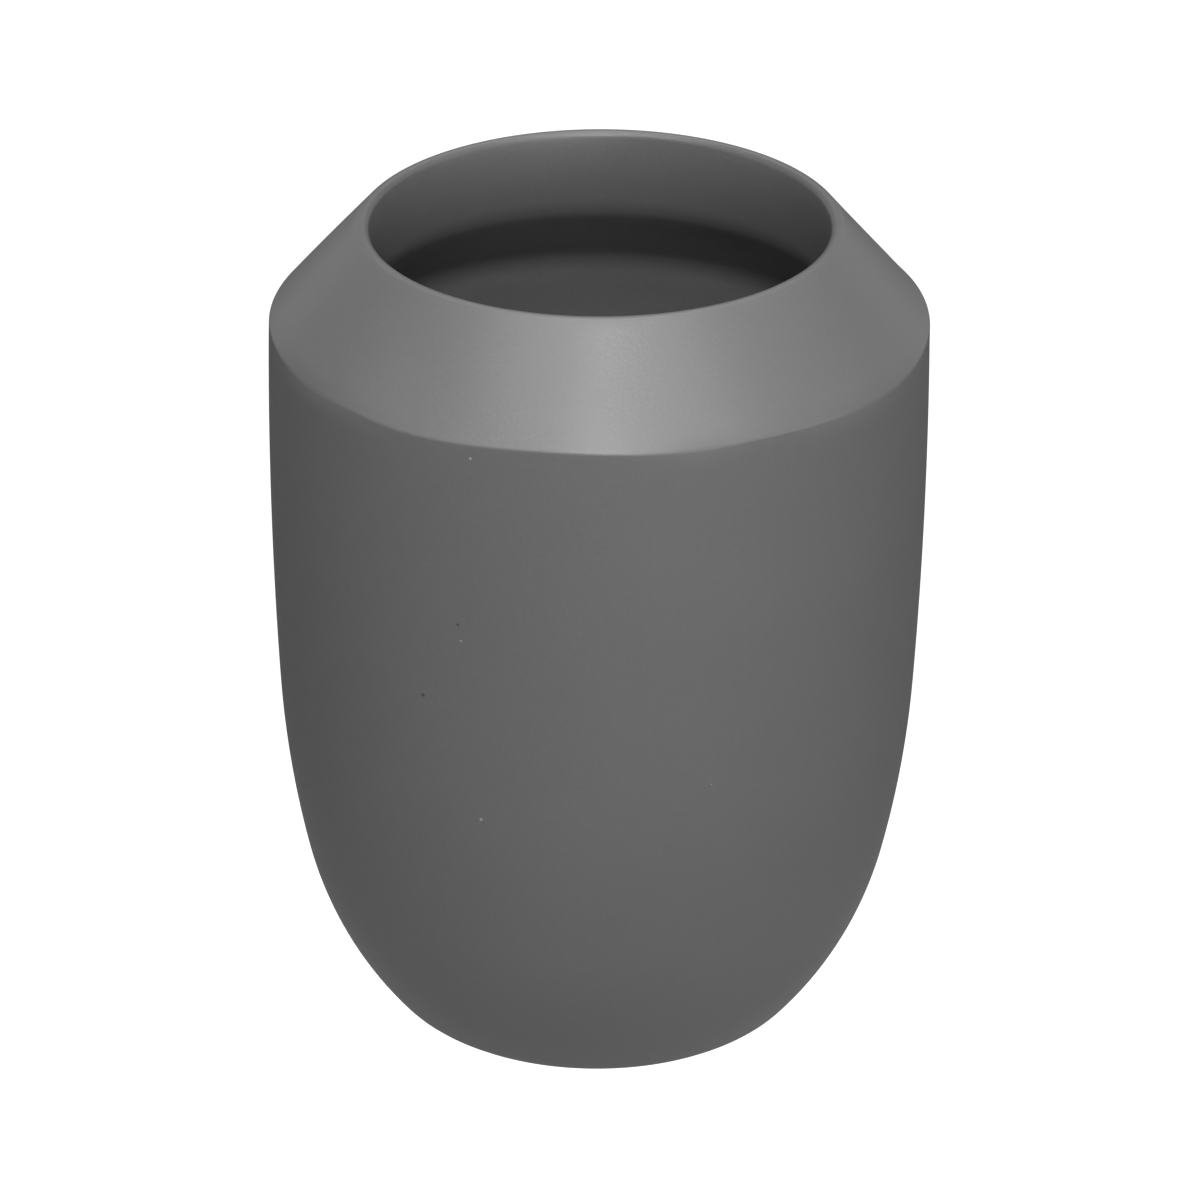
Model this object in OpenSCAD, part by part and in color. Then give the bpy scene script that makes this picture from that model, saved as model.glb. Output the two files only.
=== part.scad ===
// Bathroom tumbler: a round hollow-cast cup with a barrel body, a crisp
// crease, a sloping shoulder that closes in to the mouth, and a thin
// rounded lip. Inside, a smooth neck bulges in under the lip and rounds
// under to the wall. A soft non-slip pad is glued into the foot.
// Millimetres, +Z up. The origin is on the axis, at the underside of the pad.

/* [Overall] */
// Height from the shelf to the top of the lip
height = 105; // [98:0.5:116]
// Diameter at the crease, where the shoulder meets the body
crease_d = 80; // [76:0.5:88]
// Height of the shoulder, from the crease up to the top of the lip
shoulder_h = 12.8; // [9:0.2:20]
// Clear width of the mouth, at the narrowest of the neck
mouth_d = 54.9; // [48:0.1:60]

/* [Body outline] */
// Diameter of the flat foot, where the heel rounds off
foot_d = 42.4; // [38:0.2:47]
// Radius of the heel, at the edge of the foot
heel_r = 7; // [4:0.5:10]
// Radius of the flank, between the haunch and the belly
flank_r = 132; // [110:1:150]
// Rounding of the crease
crease_r = 1; // [0.4:0.1:4]
// How far the wall leans in above the belly, just under the crease, in degrees
crease_lean = 1.3; // [0:0.1:2.5]
// How far it leans in below the belly, where the flank starts, in degrees
flank_lean = 3; // [2:0.1:4.5]
// How far it leans in where the haunch starts, in degrees
haunch_lean = 12.7; // [10:0.1:15]
// How far it leans in where the heel starts, in degrees
heel_lean = 39.4; // [35:0.2:45]

/* [Neck] */
// Thickness of the lip, which is rounded over to a half circle
lip_t = 1.8; // [1.2:0.1:3]
// Height of the neck, from the lip down to where it rounds under
neck_h = 8; // [5:0.1:9.5]
// How far the neck leans in at the lip, in degrees
neck_top_lean = 8; // [4:0.5:12]
// How far it leans out again at its lower edge, in degrees
neck_edge_lean = 4; // [2:0.5:8]
// Rounding of the lower edge
neck_edge_r = 6; // [3:0.1:8]
// Lean of the shoulder's underside, from upright, in degrees
under_lean = 38; // [32:0.5:48]
// Rounding where the underside meets the wall
throat_r = 6; // [3:0.5:10]

/* [Wall] */
// Thickness of the wall from the throat to the haunch
wall_t = 5; // [3:0.1:6]
// Thickness of the floor, over the pad
floor_t = 5; // [3:0.1:9]
// Rounding inside, where the wall meets the floor
bowl_r = 12; // [6:0.5:16]

/* [Pad] */
// Diameter of the recess under the foot
recess_d = 34; // [26:0.5:37]
// Depth of the recess
recess_h = 1; // [0.6:0.1:1.6]
// Chamfer round the mouth of the recess
recess_chamfer = 0.3; // [0.1:0.1:0.4]
// Gap round the pad, inside the recess
pad_gap = 0.4; // [0.2:0.1:0.8]
// How far the pad stands out below the foot
pad_proud = 0.4; // [0.2:0.1:1]
// Chamfer round the underside of the pad
pad_chamfer = 0.3; // [0.1:0.1:0.5]

/* [Hidden] */

// Widest gap between a true arc and the points drawn along it
arc_gap = 0.01;
// Fewest steps in an arc
arc_steps = 4;
// Steps round the axis
$fn = 180;

// Where the main features lie
foot_z = pad_proud;
recess_z = foot_z + recess_h;
floor_z = recess_z + floor_t;
crease_z = height - shoulder_h;
crease = [crease_d / 2, crease_z];
lip_r = lip_t / 2;

// A direction in the outline's plane, in degrees above the outward level
function heading(angle) = [cos(angle), sin(angle)];
function angle_of(v) = atan2(v.y, v.x);

// Points along an arc round a centre, between two headings
function arc(centre, r, from, to) =
    let (steps = max(arc_steps, ceil(abs(to - from) / 2 / acos(1 - arc_gap / r))))
    [for (i = [0:steps]) centre + r * heading(from + (to - from) * i / steps)];

// Square heading of the line from a point that touches a circle on its far side
function tangent_heading(point, centre, r) =
    angle_of(point - centre) + acos(r / norm(point - centre));

// Centre of a fillet in the corner where a line runs out through a circle. The
// line is square to one heading, away from the fillet, and runs along another.
function fillet_centre(point, square, run, centre, r, fillet_r) =
    let (along = heading(run))
    let (start = point - fillet_r * heading(square))
    let (back = (start - centre) * along)
    let (reach = back * back - norm(start - centre) ^ 2 + (r - fillet_r) ^ 2)
    start + (sqrt(reach) - back) * along;

// The body's side is four arcs, each tangent to the next: heel, haunch, flank
// and belly. The leans and the heel and flank radii are given, and the haunch
// and belly radii are solved so that the side runs from the foot to the crease.
heel_c = [foot_d / 2, foot_z + heel_r];
haunch_turn = heading(-haunch_lean) - heading(-heel_lean);
flank_turn = heading(-flank_lean) - heading(-haunch_lean);
belly_turn = heading(crease_lean) - heading(-flank_lean);
to_span = crease - heel_c - heel_r * heading(-heel_lean) - flank_r * flank_turn;
haunch_r = cross(to_span, belly_turn) / cross(haunch_turn, belly_turn);
belly_r = cross(haunch_turn, to_span) / cross(haunch_turn, belly_turn);
haunch_c = heel_c - (haunch_r - heel_r) * heading(-heel_lean);
flank_c = haunch_c - (flank_r - haunch_r) * heading(-haunch_lean);
belly_c = flank_c - (belly_r - flank_r) * heading(-flank_lean);

// The neck's bulge, with the lip rolled over its top end
neck_r = neck_h / (sin(neck_top_lean) + sin(neck_edge_lean));
neck_sink = (neck_r - lip_r) * sin(neck_top_lean);
neck_c = [mouth_d / 2 + neck_r, height - lip_r - neck_sink];
lip_centre = neck_c + (neck_r - lip_r) * heading(180 - neck_top_lean);

// Outside of the shoulder and its crease
shoulder_heading = tangent_heading(crease, lip_centre, lip_r);
shoulder_run = shoulder_heading - 90;
crease_c = fillet_centre(crease, shoulder_heading, shoulder_run, belly_c, belly_r, crease_r);

// The neck's lower edge, and the shoulder's underside down to the wall
edge_c = neck_c + (neck_r - neck_edge_r) * heading(180 + neck_edge_lean);
under_start = edge_c - neck_edge_r * heading(under_lean);
under_run = under_lean - 90;
inner_belly_r = belly_r - wall_t;
throat_c = fillet_centre(under_start, under_lean, under_run, belly_c, inner_belly_r, throat_r);

// Inside of the haunch, which rounds into the floor
inner_haunch_r = haunch_r - wall_t;
bowl_c = fillet_centre([0, floor_z], -90, 0, haunch_c, inner_haunch_r, bowl_r);

// Outside of the wall, from the foot up to the lip
function outer_side() = concat(
    arc(heel_c, heel_r, -90, -heel_lean),
    arc(haunch_c, haunch_r, -heel_lean, -haunch_lean),
    arc(flank_c, flank_r, -haunch_lean, -flank_lean),
    arc(belly_c, belly_r, -flank_lean, angle_of(crease_c - belly_c)),
    arc(crease_c, crease_r, angle_of(crease_c - belly_c), shoulder_heading)
);

// Inside of the wall, from the lip down to the floor
function inner_side() = concat(
    arc(neck_c, neck_r, 180 - neck_top_lean, 180 + neck_edge_lean),
    arc(edge_c, neck_edge_r, 180 + neck_edge_lean, 180 + under_lean),
    arc(throat_c, throat_r, under_lean, angle_of(throat_c - belly_c)),
    arc(belly_c, inner_belly_r, angle_of(throat_c - belly_c), -flank_lean),
    arc(flank_c, flank_r - wall_t, -flank_lean, -haunch_lean),
    arc(haunch_c, inner_haunch_r, -haunch_lean, angle_of(bowl_c - haunch_c)),
    arc(bowl_c, bowl_r, angle_of(bowl_c - haunch_c), -90)
);

// One revolved outline, so the wall runs unbroken from the foot to the lip
module tumbler_body() {
    recess_r = recess_d / 2;
    lip = arc(lip_centre, lip_r, shoulder_heading, 180 - neck_top_lean);
    underside = [
        [0, floor_z],
        [0, recess_z],
        [recess_r, recess_z],
        [recess_r, foot_z + recess_chamfer],
        [recess_r + recess_chamfer, foot_z]
    ];
    color("dimgray")
        rotate_extrude()
            polygon(concat(outer_side(), lip, inner_side(), underside));
}

// A soft disc that fills the recess and keeps the foot off the shelf
module base_pad() {
    pad_r = recess_d / 2 - pad_gap;
    color([0.17, 0.17, 0.17])
        rotate_extrude()
            polygon([
                [0, 0],
                [pad_r - pad_chamfer, 0],
                [pad_r, pad_chamfer],
                [pad_r, recess_z],
                [0, recess_z]
            ]);
}

tumbler_body();
base_pad();
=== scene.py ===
import math

import bmesh
import bpy
from mathutils import Matrix, Quaternion, Vector


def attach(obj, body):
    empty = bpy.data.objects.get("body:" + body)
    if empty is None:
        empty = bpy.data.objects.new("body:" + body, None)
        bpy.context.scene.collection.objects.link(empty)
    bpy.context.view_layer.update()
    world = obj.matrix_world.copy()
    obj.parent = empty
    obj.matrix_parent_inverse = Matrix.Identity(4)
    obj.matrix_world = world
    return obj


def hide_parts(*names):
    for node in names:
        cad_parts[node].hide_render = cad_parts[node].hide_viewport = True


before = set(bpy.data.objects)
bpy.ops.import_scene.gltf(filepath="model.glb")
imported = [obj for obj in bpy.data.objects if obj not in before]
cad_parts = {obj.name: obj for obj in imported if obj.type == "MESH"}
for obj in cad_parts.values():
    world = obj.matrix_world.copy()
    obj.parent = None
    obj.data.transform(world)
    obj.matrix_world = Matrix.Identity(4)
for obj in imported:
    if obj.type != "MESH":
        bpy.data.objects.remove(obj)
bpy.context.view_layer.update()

mm = 0.001


# wire outlines, drawn in the XZ plane and spun about Z

def linkMesh(bm, name):
    mesh = bpy.data.meshes.new(name)
    bm.to_mesh(mesh)
    bm.free()
    mesh.shade_smooth()
    piece = bpy.data.objects.new(name, mesh)
    bpy.context.scene.collection.objects.link(piece)
    return piece


def lastVert(swing):
    return next(part for part in swing["geom_last"] if isinstance(part, bmesh.types.BMVert))


def runWire(bm, tip, heading, length, step, least=1):
    # pulls the tip straight on, in even steps
    count = max(least, round(length / step))
    along = Vector((math.cos(heading), 0, math.sin(heading)))
    return lastVert(bmesh.ops.spin(bm, geom=[tip], cent=tip.co, axis=(0, -1, 0), angle=0,
                                   dvec=along * length / count, steps=count))


def bendWire(bm, tip, heading, radius, turn, step, least=2):
    # swings the tip round a centre square to its heading, to the left for a positive turn
    count = max(least, round(radius * abs(turn) / step))
    side = Vector((-math.sin(heading), 0, math.cos(heading))) * math.copysign(radius, turn)
    return lastVert(bmesh.ops.spin(bm, geom=[tip], cent=tip.co + side, axis=(0, -1, 0),
                                   angle=turn, steps=count))


def drawWire(start, heading, moves, step):
    # moves are ("run", length, least steps), ("bend", radius, degrees, least steps)
    # and ("corner", degrees), in mm
    bm = bmesh.new()
    tip = bm.verts.new((start[0] * mm, 0, start[1] * mm))
    for kind, *sizes in moves:
        if kind == "run":
            tip = runWire(bm, tip, heading, sizes[0] * mm, step * mm, *sizes[1:])
        elif kind == "corner":
            heading += math.radians(sizes[0])
        else:
            radius, degrees, least = sizes
            turn = math.radians(degrees)
            tip = bendWire(bm, tip, heading, radius * mm, turn, step * mm, least)
            heading += turn
    return bm, tip


def spinWire(bm, sides):
    bmesh.ops.spin(bm, geom=bm.verts[:] + bm.edges[:], cent=(0, 0, 0), axis=(0, 0, 1),
                   angle=math.tau, steps=sides, use_merge=True)
    bmesh.ops.remove_doubles(bm, verts=bm.verts, dist=1e-6)
    bmesh.ops.recalc_face_normals(bm, faces=bm.faces)


# the cast cup

cup = {
    "footHeight": 0.4,         # the pad holds the foot off the shelf
    "footRadius": 21.2,
    "recessRadius": 17.0,
    "recessDepth": 1.0,
    "recessChamfer": 0.3,
    "heel": (7.0, 50.6),       # radius in mm and turn in degrees, from the foot up
    "haunch": (47.529, 26.7),
    "flank": (132.0, 9.7),
    "belly": (631.974, 3.9219),
    "bellyTop": (631.974, 0.36),  # the belly's last part, in finer steps
    "crease": (0.55, 39.0555),
    "shoulderFoot": 4.0,       # the shoulder's first part, in finer steps
    "shoulderRun": 12.1795,
    "lip": (0.9, 131.662),
    "neck": (38.290, 12.0),    # the bulge just inside the mouth
    "neckEdge": (6.0, 34.0),
    "underRun": 8.236,         # the wall falls away under the neck
    "throat": (6.0, -37.548),
    "innerBelly": (626.974, -3.452),
    "innerFlank": (127.0, -9.7),
    "innerHaunch": (42.529, -16.138),
    "bowl": (12.0, -61.162),
    "wireStep": 1.2,
    "arcSteps": 8,             # least steps in an arc
    "bowlSteps": 10,
    "nearCreaseSteps": 10,
    "creaseSteps": 6,
    "lipSteps": 14,
    "sides": 256,
}


def makeCup():
    c = cup
    arc, near = c["arcSteps"], c["nearCreaseSteps"]
    chamferRun = c["recessChamfer"] * math.sqrt(2)
    moves = [
        ("run", c["recessRadius"]),
        ("corner", -90),
        ("run", c["recessDepth"] - c["recessChamfer"]),
        ("corner", 45),
        ("run", chamferRun),
        ("corner", 45),
        ("run", c["footRadius"] - c["recessRadius"] - c["recessChamfer"]),
        ("bend", *c["heel"], arc),
        ("bend", *c["haunch"], arc),
        ("bend", *c["flank"], arc),
        ("bend", *c["belly"], arc),
        ("bend", *c["bellyTop"], near),
        ("bend", *c["crease"], c["creaseSteps"]),
        ("run", c["shoulderFoot"], near),
        ("run", c["shoulderRun"]),
        ("bend", *c["lip"], c["lipSteps"]),
        ("bend", *c["neck"], arc),
        ("bend", *c["neckEdge"], arc),
        ("run", c["underRun"]),
        ("bend", *c["throat"], arc),
        ("bend", *c["innerBelly"], arc),
        ("bend", *c["innerFlank"], arc),
        ("bend", *c["innerHaunch"], arc),
        ("bend", *c["bowl"], c["bowlSteps"]),
    ]
    bm, tip = drawWire((0, c["footHeight"] + c["recessDepth"]), 0, moves, c["wireStep"])
    runWire(bm, tip, math.pi, tip.co.x, c["wireStep"] * mm)
    spinWire(bm, c["sides"])
    loosenCrease(bm)
    piece = linkMesh(bm, "cast_cup")
    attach(piece, "root")
    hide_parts("tumbler_body")
    return piece


# a cast wall is never quite true: the crease rises and dips, and is rubbed softer at the sides

crease = {
    "height": 92.2,
    "radius": 40.0,
    "reach": 11.5,             # mm above and below that move with the crease
    # azimuth and spread in degrees, and size in mm
    "rises": [(-64, 12, -0.34), (-47, 9, 0.36), (-40, 16, -0.38), (-6, 14, 0.34),
              (30, 14, 0.32), (64, 16, -0.50), (110, 16, 0.20)],
    "rubs": [(-58, 17, 0.30), (18, 7, 0.16), (54, 20, 0.24), (102, 18, -0.10)],
    "rubReach": 2.7,           # mm round the crease that a rub takes in
    "rubFall": 0.4,            # mm down for each mm inward
    "lipHeight": 105.0,
    "lipRadius": 28.7,
    "lipDip": 0.44,            # mm, the mouth sinks to the camera's left
    "drawIn": 0.016,           # mm, keeps the spun wall within its true size
}


def azimuthOf(co):
    # 0 is the camera's side, and 90 is to its right
    return math.degrees(math.atan2(co.x, -co.y))


def waves(rows, around):
    return sum(size * math.exp(-((around - middle) / spread) ** 2) for middle, spread, size in rows)


def loosenCrease(bm):
    for vert in bm.verts:
        around = azimuthOf(vert.co)
        above = vert.co.z / mm - crease["height"]
        radius = math.hypot(vert.co.x, vert.co.y)
        if radius == 0:
            continue
        inward = Vector((-vert.co.x, -vert.co.y, 0)) / radius
        vert.co += inward * crease["drawIn"] * mm
        if abs(above) < crease["reach"]:
            share = math.cos(above / crease["reach"] * math.pi / 2) ** 2
            vert.co.z += waves(crease["rises"], around) * share * mm
        apart = math.hypot(above, radius / mm - crease["radius"])
        if apart < crease["rubReach"]:
            share = (1 - apart / crease["rubReach"]) ** 2
            push = inward - Vector((0, 0, crease["rubFall"]))
            vert.co += push * waves(crease["rubs"], around) * share * mm
        if above > 0:
            share = (above / (crease["lipHeight"] - crease["height"])) ** 2
            left = 0.5 - 0.5 * vert.co.x / mm / crease["lipRadius"]
            vert.co.z -= crease["lipDip"] * share * left ** 2 * mm


# the soft disc under the foot

pad = {
    "radius": 16.6,
    "thickness": 1.4,
    "edgeRound": 0.3,
    "edgeSteps": 6,
    "wireStep": 1.0,
    "sides": 160,
}


def makePad():
    p = pad
    moves = [
        ("run", p["radius"] - p["edgeRound"]),
        ("bend", p["edgeRound"], 90, p["edgeSteps"]),
        ("run", p["thickness"] - p["edgeRound"]),
        ("corner", 90),
    ]
    bm, tip = drawWire((0, 0), 0, moves, p["wireStep"])
    runWire(bm, tip, math.pi, tip.co.x, p["wireStep"] * mm)
    spinWire(bm, p["sides"])
    piece = linkMesh(bm, "grip_disc")
    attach(piece, "root")
    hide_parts("base_pad")
    return piece


# node helpers

def newMaterial(name):
    material = bpy.data.materials.new(name)
    material.use_nodes = True
    return material, material.node_tree.nodes, material.node_tree.links


def newGroup(name, inputs, outputs):
    group = bpy.data.node_groups.new(name, "ShaderNodeTree")
    for label, value in inputs:
        socket = group.interface.new_socket(label, in_out="INPUT", socket_type="NodeSocketFloat")
        socket.default_value = value
    for label in outputs:
        group.interface.new_socket(label, in_out="OUTPUT", socket_type="NodeSocketFloat")
    start = group.nodes.new("NodeGroupInput")
    end = group.nodes.new("NodeGroupOutput")
    return group, start.outputs, end.inputs


def calc(tree, operation, *terms, clamp=False):
    # one Math node, fed by sockets or plain numbers
    node = tree.nodes.new("ShaderNodeMath")
    node.operation = operation
    node.use_clamp = clamp
    for place, term in zip(node.inputs, terms):
        if isinstance(term, (int, float)):
            place.default_value = term
        else:
            tree.links.new(term, place)
    return node.outputs[0]


def perMetre(tree, size):
    # a texture scale from a feature size in mm
    return calc(tree, "DIVIDE", 1 / mm, size)


def noise(tree, scale, detail, roughness=0.5, offset=(0, 0, 0)):
    # noise on object coordinates, centred on zero
    place = tree.nodes.new("ShaderNodeTexCoord").outputs["Object"]
    shift = tree.nodes.new("ShaderNodeMapping")
    shift.inputs["Location"].default_value = offset
    tree.links.new(place, shift.inputs["Vector"])
    cloud = tree.nodes.new("ShaderNodeTexNoise")
    tree.links.new(shift.outputs["Vector"], cloud.inputs["Vector"])
    tree.links.new(scale, cloud.inputs["Scale"])
    cloud.inputs["Detail"].default_value = detail
    cloud.inputs["Roughness"].default_value = roughness
    return calc(tree, "SUBTRACT", cloud.outputs[0], 0.5)


def placeGroup(tree, group, **values):
    node = tree.nodes.new("ShaderNodeGroup")
    node.node_tree = group
    for label, value in values.items():
        node.inputs[label.replace("_", " ")].default_value = value
    return node.outputs


def greyOf(tree, value):
    # the same number in red, green and blue
    join = tree.nodes.new("ShaderNodeCombineColor")
    for channel in ("Red", "Green", "Blue"):
        tree.links.new(value, join.inputs[channel])
    return join.outputs["Color"]


def putBump(tree, height, shader):
    # a height in metres, raised one to one
    bump = tree.nodes.new("ShaderNodeBump")
    bump.inputs["Distance"].default_value = 1.0
    tree.links.new(height, bump.inputs["Height"])
    tree.links.new(bump.outputs["Normal"], shader.inputs["Normal"])


# effects shared by both finishes

powder = {
    "detail": 3,
    "grainRoughness": 0.6,
    "cloudRoughness": 0.5,
    "cloudShift": (0.31, 0.17, 0.05),  # metres, so that the clouds don't follow the grain
}


def makePowder():
    # dry grain over slow clouds: a tint about 1, a roughness and a height about 0
    group, given, put = newGroup("powderGrain", [
        ("Grain Size", 0.25), ("Cloud Size", 16.0), ("Grain Tint", 0.05), ("Cloud Tint", 0.05),
        ("Roughness", 0.5), ("Roughness Spread", 0.1)], ["Tint", "Roughness", "Height"])
    grain = noise(group, perMetre(group, given["Grain Size"]), powder["detail"],
                  powder["grainRoughness"])
    cloud = noise(group, perMetre(group, given["Cloud Size"]), powder["detail"],
                  powder["cloudRoughness"], powder["cloudShift"])
    grainTint = calc(group, "MULTIPLY", grain, given["Grain Tint"])
    cloudTint = calc(group, "MULTIPLY", cloud, given["Cloud Tint"])
    both = calc(group, "ADD", grainTint, cloudTint)
    group.links.new(calc(group, "ADD", both, 1.0), put["Tint"])
    spread = calc(group, "MULTIPLY", calc(group, "ADD", cloud, grain), given["Roughness Spread"])
    group.links.new(calc(group, "ADD", spread, given["Roughness"]), put["Roughness"])
    group.links.new(grain, put["Height"])
    return group


marks = {
    "leastSize": 0.4,          # share of the full size
    "steepness": 2.0,          # how fast a mark's side climbs to its flat top
    "topRound": 0.4,
}


def makeMarks():
    # sparse round marks, one to a cell at most: a mask of 1 at their middles
    group, given, put = newGroup("strayMarks", [
        ("Spacing", 5.0), ("Size", 0.3), ("Share", 0.3), ("Shift", 0.0)], ["Mask"])
    place = group.nodes.new("ShaderNodeTexCoord").outputs["Object"]
    move = group.nodes.new("ShaderNodeVectorMath")
    move.operation = "ADD"
    group.links.new(place, move.inputs[0])
    group.links.new(given["Shift"], move.inputs[1])
    cells = group.nodes.new("ShaderNodeTexVoronoi")
    cells.feature = "F1"
    group.links.new(move.outputs[0], cells.inputs["Vector"])
    group.links.new(perMetre(group, given["Spacing"]), cells.inputs["Scale"])
    away = calc(group, "MULTIPLY", cells.outputs["Distance"], given["Spacing"])
    split = group.nodes.new("ShaderNodeSeparateColor")
    group.links.new(cells.outputs["Color"], split.inputs["Color"])
    share = calc(group, "ADD", split.outputs["Red"], marks["leastSize"])
    size = calc(group, "MULTIPLY", given["Size"], share)
    edge = calc(group, "SUBTRACT", 1.0, calc(group, "DIVIDE", away, size), clamp=True)
    chosen = calc(group, "LESS_THAN", split.outputs["Green"], given["Share"])
    side = calc(group, "MULTIPLY", edge, marks["steepness"])
    dome = calc(group, "SMOOTH_MIN", side, 1.0, marks["topRound"])
    group.links.new(calc(group, "MULTIPLY", dome, chosen, clamp=True), put["Mask"])
    return group


powderGrain = makePowder()
strayMarks = makeMarks()


# the matte coat on the cup: sizes, heights and depths in mm, greys from 0 to 1

ceramic = {
    "grey": 0.14,
    "grain": {"Grain_Size": 0.42, "Cloud_Size": 17.0, "Grain_Tint": 0.20, "Cloud_Tint": 0.07,
              "Roughness": 0.38, "Roughness_Spread": 0.10},
    "grainHeight": 0.024,
    "rippleSize": 2.6,
    "rippleDetail": 1,
    "rippleHeight": 0.012,
    "flecks": {"Spacing": 6.5, "Size": 0.20, "Share": 0.45},
    "fleckGrey": 0.36,
    "pits": {"Spacing": 9.0, "Size": 0.31, "Share": 0.50, "Shift": 0.37},
    "pitGrey": 0.055,
    "pitDepth": 0.05,
    "footGrey": 0.18,          # the coat is wiped thin on the foot ring
    "footTop": 0.75,
    # painted light and shade: the throat is painted paler and the neck darker, standing in for
    # the light and shade in the mouth; each takes in what is within the radius and between foot
    # and top, and fades in and out over the blend
    "throat": {"radius": 36.0, "foot": 81.0, "top": 96.0, "blend": 7.0, "shift": 0.5},
    "neck": {"radius": 28.3, "foot": 94.0, "top": 108.0, "blend": 3.0, "shift": -0.18},
}


def ceramicFinish():
    c = ceramic
    material, nodes, links = newMaterial("matteCeramic")
    tree = material.node_tree
    shader = nodes["Principled BSDF"]
    grain = placeGroup(tree, powderGrain, **c["grain"])
    flecks = placeGroup(tree, strayMarks, **c["flecks"])["Mask"]
    pits = placeGroup(tree, strayMarks, **c["pits"])["Mask"]

    grey = calc(tree, "MULTIPLY", grain["Tint"], c["grey"])
    where = nodes.new("ShaderNodeSeparateXYZ")
    links.new(nodes.new("ShaderNodeTexCoord").outputs["Object"], where.inputs[0])
    up = calc(tree, "DIVIDE", where.outputs["Z"], c["footTop"] * mm)
    foot = calc(tree, "SUBTRACT", 1.0, up, clamp=True)
    flat = nodes.new("ShaderNodeCombineXYZ")
    links.new(where.outputs["X"], flat.inputs["X"])
    links.new(where.outputs["Y"], flat.inputs["Y"])
    radius = nodes.new("ShaderNodeVectorMath")
    radius.operation = "LENGTH"
    links.new(flat.outputs[0], radius.inputs[0])
    # painted light in the throat and painted shade on the neck, multiplied into the grey
    for label in ("throat", "neck"):
        part = c[label]
        share = calc(tree, "LESS_THAN", radius.outputs["Value"], part["radius"] * mm)
        for start, way in ((part["foot"], 1), (part["top"], -1)):
            rise = calc(tree, "MULTIPLY", calc(tree, "SUBTRACT", where.outputs["Z"], start * mm), way)
            rise = calc(tree, "DIVIDE", rise, part["blend"] * mm, clamp=True)
            share = calc(tree, "MULTIPLY", share, rise)
        paintedLightAndShade = calc(tree, "ADD", calc(tree, "MULTIPLY", share, part["shift"]), 1.0)
        grey = calc(tree, "MULTIPLY", grey, paintedLightAndShade)
    for share, target in ((foot, c["footGrey"]), (flecks, c["fleckGrey"]), (pits, c["pitGrey"])):
        change = calc(tree, "MULTIPLY", share, calc(tree, "SUBTRACT", target, grey))
        grey = calc(tree, "ADD", grey, change)
    links.new(greyOf(tree, grey), shader.inputs["Base Color"])
    links.new(grain["Roughness"], shader.inputs["Roughness"])

    ripple = noise(tree, perMetre(tree, c["rippleSize"]), c["rippleDetail"])
    height = calc(tree, "MULTIPLY", grain["Height"], c["grainHeight"] * mm)
    height = calc(tree, "ADD", height, calc(tree, "MULTIPLY", ripple, c["rippleHeight"] * mm))
    height = calc(tree, "SUBTRACT", height, calc(tree, "MULTIPLY", pits, c["pitDepth"] * mm))
    putBump(tree, height, shader)
    return material


# the moulded pad

rubber = {
    "grey": 0.022,
    "grain": {"Grain_Size": 0.4, "Cloud_Size": 9.0, "Grain_Tint": 0.25, "Cloud_Tint": 0.3,
              "Roughness": 0.74, "Roughness_Spread": 0.14},
    "grainHeight": 0.03,
    "lint": {"Spacing": 3.2, "Size": 0.16, "Share": 0.35, "Shift": 0.61},
    "lintGrey": 0.12,
}


def rubberFinish():
    r = rubber
    material, nodes, links = newMaterial("softRubber")
    tree = material.node_tree
    shader = nodes["Principled BSDF"]
    grain = placeGroup(tree, powderGrain, **r["grain"])
    lint = placeGroup(tree, strayMarks, **r["lint"])["Mask"]
    grey = calc(tree, "MULTIPLY", grain["Tint"], r["grey"])
    grey = calc(tree, "ADD", grey, calc(tree, "MULTIPLY", lint, r["lintGrey"]))
    links.new(greyOf(tree, grey), shader.inputs["Base Color"])
    links.new(grain["Roughness"], shader.inputs["Roughness"])
    putBump(tree, calc(tree, "MULTIPLY", grain["Height"], r["grainHeight"] * mm), shader)
    return material


# studio

studio = {
    "floorSize": 6.0,
    "floorGrey": 0.15,         # what the floor gives back to the cup
    "floorRoughness": 0.9,
    "spotGlow": 0.30,          # the floor is lit from under in a round spot below the cup
    "spotRadius": 0.06,
    "floorLift": 0.97,         # brings the floor up to a pale tone in the picture alone
    "worldStrength": 0.04,
    "worldLift": 0.96,         # and the room behind it
    "aim": 0.055,              # metres up the cup, where the softboxes point
}
softboxes = [
    # name, azimuth and elevation in degrees, distance, width and height in metres, watts
    ("keyStrip", 2, 47, 1.2, 0.20, 0.38, 6.7),
    ("keyRightBox", 38, 52, 1.2, 0.45, 0.40, 2.3),
    ("keyLeftBox", -40, 55, 1.2, 0.45, 0.40, 2.5),
    ("topBox", 0, 84, 1.2, 0.70, 0.50, 6.0),
    ("lowFrontBox", 17, 11, 1.2, 1.00, 0.30, 3.9),
    ("leftBox", -80, 50, 1.2, 0.60, 0.40, 0.4),
    ("rightBox", 80, 50, 1.2, 0.60, 0.40, 0.4),
    ("lowRightBox", 66, 8, 1.2, 1.00, 0.30, 2.2),
    ("lowLeftBox", -78, 8, 1.2, 1.00, 0.30, 1.1),
    ("backBox", 180, 66, 1.3, 0.90, 0.60, 3.2),
    ("backLeftBox", -146, 6, 1.2, 0.70, 0.40, 0.45),
    ("backRightBox", 146, 6, 1.2, 0.70, 0.40, 0.40),
]
viewpoint = {
    # metres, degrees, and the lens in mm
    "distance": 0.801,
    "targetHeight": 0.05393,
    "elevation": 26.385,
    "lens": 194.28,
    "roll": 0.41,
    "turn": 0.024,
}


def outward(azimuth, elevation):
    # azimuth 0 is the camera's side, and 90 is to its right
    a, e = math.radians(azimuth), math.radians(elevation)
    return Vector((math.sin(a) * math.cos(e), -math.cos(a) * math.cos(e), math.sin(e)))


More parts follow.
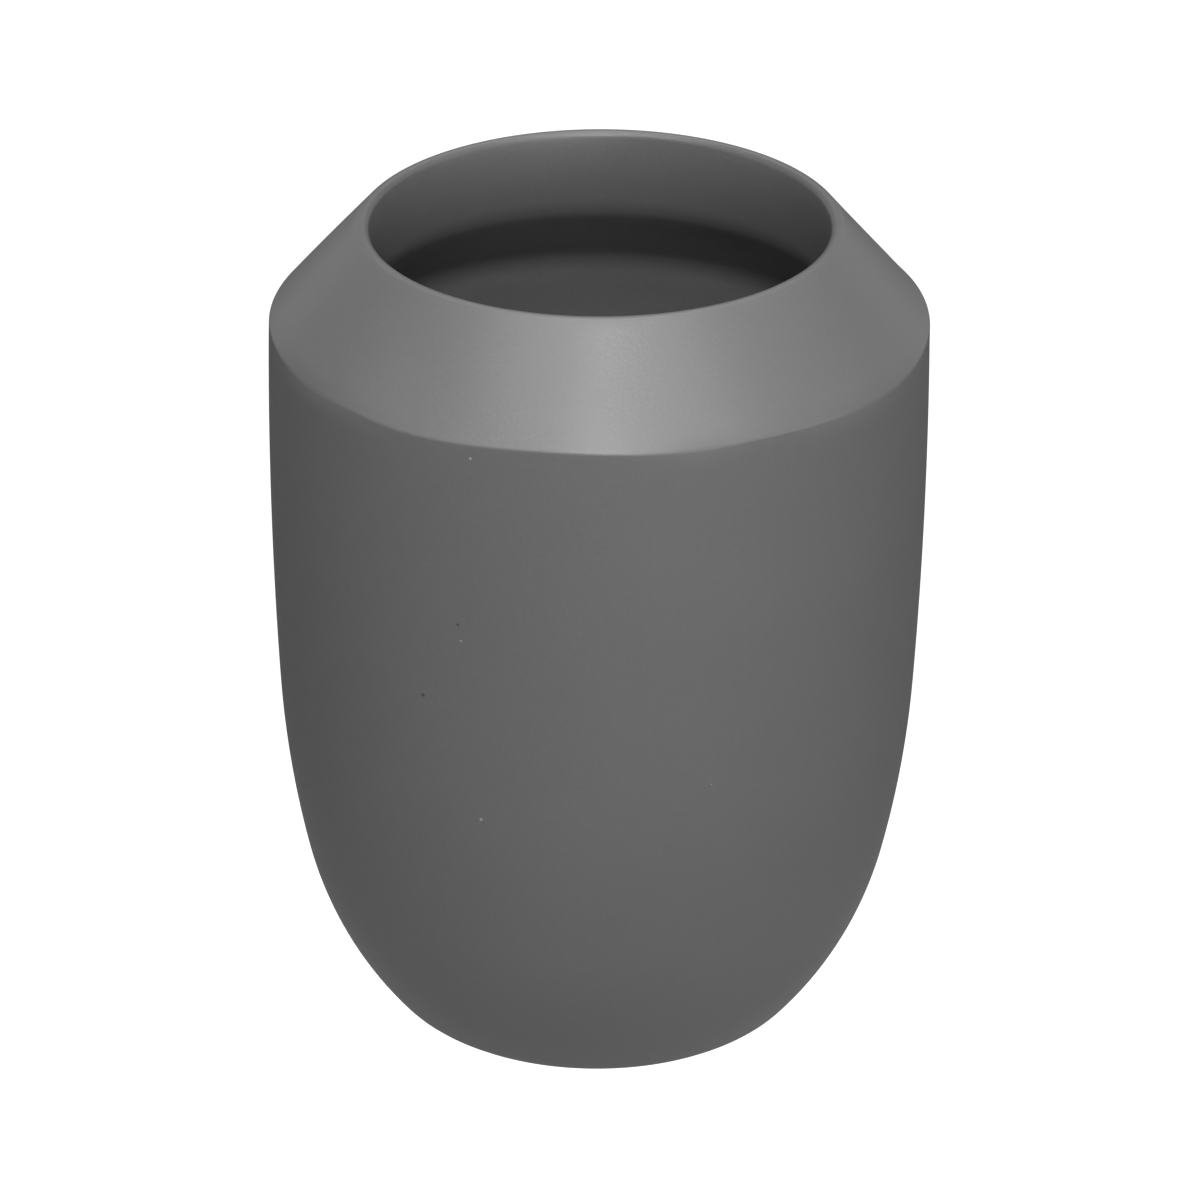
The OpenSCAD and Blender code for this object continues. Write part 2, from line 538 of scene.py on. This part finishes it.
def makeFloor():
    s = studio
    bm = bmesh.new()
    bmesh.ops.create_grid(bm, x_segments=1, y_segments=1, size=s["floorSize"] / 2)
    floor = linkMesh(bm, "studio_floor")
    material, nodes, links = newMaterial("paleFloor")
    tree = material.node_tree
    shader = nodes["Principled BSDF"]
    shader.inputs["Base Color"].default_value = (s["floorGrey"],) * 3 + (1,)
    shader.inputs["Roughness"].default_value = s["floorRoughness"]
    shader.inputs["Specular IOR Level"].default_value = 0
    shader.inputs["Emission Color"].default_value = (1, 1, 1, 1)
    seen = nodes.new("ShaderNodeLightPath").outputs["Is Camera Ray"]
    place = nodes.new("ShaderNodeTexCoord").outputs["Object"]
    away = nodes.new("ShaderNodeVectorMath")
    away.operation = "LENGTH"
    links.new(place, away.inputs[0])
    fall = calc(tree, "POWER", calc(tree, "DIVIDE", away.outputs["Value"], s["spotRadius"]), 2)
    bell = calc(tree, "EXPONENT", calc(tree, "MULTIPLY", fall, -1))
    spot = calc(tree, "MULTIPLY", bell, s["spotGlow"])
    glow = calc(tree, "ADD", calc(tree, "MULTIPLY", seen, s["floorLift"]), spot)
    links.new(glow, shader.inputs["Emission Strength"])
    floor.data.materials.append(material)


def makeWorld():
    world = bpy.data.worlds.new("paleRoom")
    world.use_nodes = True
    bpy.context.scene.world = world
    tree = world.node_tree
    back = tree.nodes["Background"]
    back.inputs["Color"].default_value = (1, 1, 1, 1)
    seen = tree.nodes.new("ShaderNodeLightPath").outputs["Is Camera Ray"]
    lift = calc(tree, "MULTIPLY", seen, studio["worldLift"])
    tree.links.new(calc(tree, "ADD", lift, studio["worldStrength"]), back.inputs["Strength"])


def makeSoftbox(name, azimuth, elevation, distance, width, height, watts):
    lamp = bpy.data.lights.new(name, "AREA")
    lamp.shape, lamp.size, lamp.size_y, lamp.energy = "RECTANGLE", width, height, watts
    box = bpy.data.objects.new(name, lamp)
    away = outward(azimuth, elevation)
    box.location = away * distance + Vector((0, 0, studio["aim"]))
    box.rotation_euler = away.to_track_quat("Z", "Y").to_euler()
    bpy.context.scene.collection.objects.link(box)


def makeCamera():
    v = viewpoint
    lensData = bpy.data.cameras.new("camera")
    lensData.lens = v["lens"]
    away = outward(0, v["elevation"])
    turned = away.to_track_quat("Z", "Y")
    turned @= Quaternion((0, 0, 1), math.radians(v["roll"]))
    turned @= Quaternion((0, 1, 0), -math.radians(v["turn"]))
    place = away * v["distance"] + Vector((0, 0, v["targetHeight"]))
    camera = bpy.data.objects.new("camera", lensData)
    camera.matrix_world = Matrix.Translation(place) @ turned.to_matrix().to_4x4()
    bpy.context.scene.collection.objects.link(camera)
    bpy.context.scene.camera = camera


cupPiece = makeCup()
cupPiece.data.materials.append(ceramicFinish())
print("cup spun:", len(cupPiece.data.polygons), "faces")

padPiece = makePad()
padPiece.data.materials.append(rubberFinish())
print("pad spun:", len(padPiece.data.polygons), "faces")

makeFloor()
makeWorld()
for row in softboxes:
    makeSoftbox(*row)
makeCamera()
bpy.context.scene.view_settings.view_transform = "Standard"
print("studio set")
